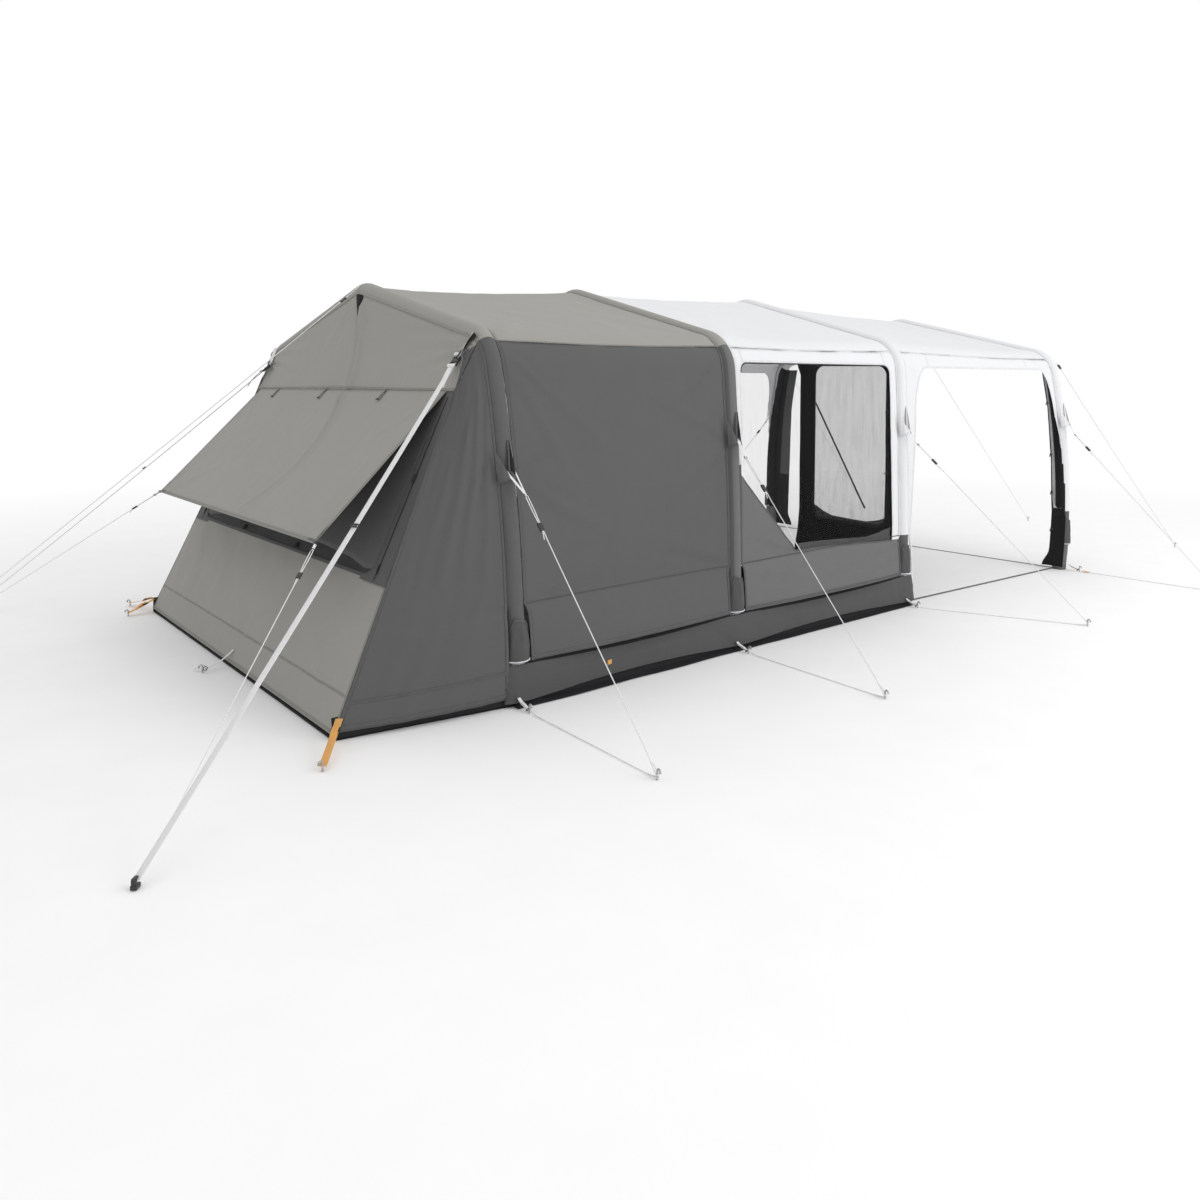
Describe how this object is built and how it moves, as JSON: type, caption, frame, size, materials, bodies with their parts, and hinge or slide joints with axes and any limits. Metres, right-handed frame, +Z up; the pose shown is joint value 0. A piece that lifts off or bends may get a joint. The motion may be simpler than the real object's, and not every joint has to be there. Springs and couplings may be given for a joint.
{
  "type": "air-beam tunnel tent",
  "caption": "Inflatable-beam tunnel tent: arched fabric shell with a propped rear visor, a windowed living bay, a partition and an open porch, guyed to pegs.",
  "frame": {"origin": "centre of the pitched tent on the ground, guy lines and their pegs left out", "axes": "+X from the bedroom end to the open porch, +Y to the far side wall, +Z up"},
  "size_m": [10.1238, 5.242, 2.125],
  "materials": {
    "bladder": "smooth",
    "canvas_dark": "matte woven",
    "canvas_grey": "matte woven",
    "canvas_white": "matte woven",
    "groundsheet": "coated",
    "lining_black": "matte woven",
    "mesh_black": "fine mesh",
    "plastic_black": "moulded",
    "webbing_dark": "woven webbing",
    "webbing_orange": "woven webbing",
    "webbing_white": "woven webbing",
    "window_film": "clear flexible film"
  },
  "bodies": {
    "tent": {"air_beam_1": "bladder", "air_beam_2": "bladder", "air_beam_3": "bladder", "air_beam_4": "bladder", "beam_sleeve_1": "canvas_grey", "beam_sleeve_2": "canvas_grey", "beam_sleeve_3": "canvas_white", "beam_sleeve_4": "canvas_white", "bedroom_roof": "canvas_grey", "bedroom_wall_far": "canvas_dark", "bedroom_wall_near": "canvas_dark", "corner_strap_far": "webbing_orange", "corner_strap_near": "webbing_orange", "front_partition": "lining_black", "front_ridge_guy": "webbing_white", "front_shoulder_guy_far": "webbing_white", "front_shoulder_guy_near": "webbing_white", "groundsheet": "groundsheet", "living_roof": "canvas_white", "living_wall_far": "canvas_white", "living_wall_near": "canvas_white", "living_window_far": "window_film", "living_window_near": "window_film", "lower_wall_far": "canvas_dark", "lower_wall_near": "canvas_dark", "partition_window_far": "window_film", "partition_window_near": "window_film", "porch_ground_strap": "webbing_dark", "porch_roof": "canvas_white", "porch_side_far": "canvas_white", "porch_side_near": "canvas_white", "rear_gusset_far": "canvas_dark", "rear_gusset_near": "canvas_dark", "rear_hood": "canvas_grey", "rear_ridge_guy": "webbing_white", "rear_shoulder_guy_far": "webbing_white", "rear_shoulder_guy_near": "webbing_white", "rear_vent_mesh": "mesh_black", "rear_wall": "canvas_grey", "side_guy_far_1": "webbing_white", "side_guy_far_2": "webbing_white", "side_guy_far_3": "webbing_white", "side_guy_far_4": "webbing_white", "side_guy_near_1": "webbing_white", "side_guy_near_2": "webbing_white", "side_guy_near_3": "webbing_white", "side_guy_near_4": "webbing_white"},
    "visor": {"rear_visor": "canvas_grey"},
    "visor_guy_near": {"visor_guy_near": "webbing_white"},
    "visor_guy_far": {"visor_guy_far": "webbing_white"},
    "zip_puller_near": {"zip_puller_near": "plastic_black"},
    "zip_puller_far": {"zip_puller_far": "plastic_black"},
    "slider_near_1": {"slider_near_1": "plastic_black"},
    "slider_near_2": {"slider_near_2": "plastic_black"},
    "slider_near_3": {"slider_near_3": "plastic_black"},
    "slider_near_4": {"slider_near_4": "plastic_black"},
    "slider_far_1": {"slider_far_1": "plastic_black"},
    "slider_far_2": {"slider_far_2": "plastic_black"},
    "slider_far_3": {"slider_far_3": "plastic_black"},
    "slider_far_4": {"slider_far_4": "plastic_black"}
  },
  "joints": [
    {"name": "visor_hinge", "type": "hinge", "parent": "tent", "child": "visor", "pos_m": [-2.2907, 0, 1.42967], "axis": [0, 1, 0], "range_deg": [-17.5, 12]},
    {"name": "visor_guy_near_hinge", "type": "hinge", "parent": "visor", "child": "visor_guy_near", "pos_m": [-2.9278, -1.247, 0.79257], "axis": [0, 1, 0], "range_deg": [-21, 30]},
    {"name": "visor_guy_far_hinge", "type": "hinge", "parent": "visor", "child": "visor_guy_far", "pos_m": [-2.9278, 1.247, 0.79257], "axis": [0, 1, 0], "range_deg": [-21, 30]},
    {"name": "zip_near_slide", "type": "slide", "parent": "tent", "child": "zip_puller_near", "axis": [0.4243, 0, 0.9055], "range_m": [0, 0.79]},
    {"name": "zip_far_slide", "type": "slide", "parent": "tent", "child": "zip_puller_far", "axis": [0.4243, 0, 0.9055], "range_m": [0, 0.79]},
    {"name": "slider_near_1_slide", "type": "slide", "parent": "tent", "child": "slider_near_1", "axis": [-0.0478, -0.7099, -0.7027], "range_m": [-0.08, 0.6]},
    {"name": "slider_near_2_slide", "type": "slide", "parent": "tent", "child": "slider_near_2", "axis": [-0.0609, -0.6796, -0.731], "range_m": [-0.08, 0.6]},
    {"name": "slider_near_3_slide", "type": "slide", "parent": "tent", "child": "slider_near_3", "axis": [0.2253, -0.6631, -0.7138], "range_m": [-0.08, 0.6]},
    {"name": "slider_near_4_slide", "type": "slide", "parent": "tent", "child": "slider_near_4", "axis": [0.0032, -0.6942, -0.7197], "range_m": [-0.08, 0.6]},
    {"name": "slider_far_1_slide", "type": "slide", "parent": "tent", "child": "slider_far_1", "axis": [-0.0478, 0.7099, -0.7027], "range_m": [-0.08, 0.6]},
    {"name": "slider_far_2_slide", "type": "slide", "parent": "tent", "child": "slider_far_2", "axis": [-0.0609, 0.6796, -0.731], "range_m": [-0.08, 0.6]},
    {"name": "slider_far_3_slide", "type": "slide", "parent": "tent", "child": "slider_far_3", "axis": [0.2253, 0.6631, -0.7138], "range_m": [-0.08, 0.6]},
    {"name": "slider_far_4_slide", "type": "slide", "parent": "tent", "child": "slider_far_4", "axis": [0.0032, 0.6942, -0.7197], "range_m": [-0.08, 0.6]}
  ],
  "couplings": [
    {"joint": "visor_guy_near_hinge", "follows": "visor_hinge", "ratio": -1.7},
    {"joint": "visor_guy_far_hinge", "follows": "visor_hinge", "ratio": -1.7}
  ]
}
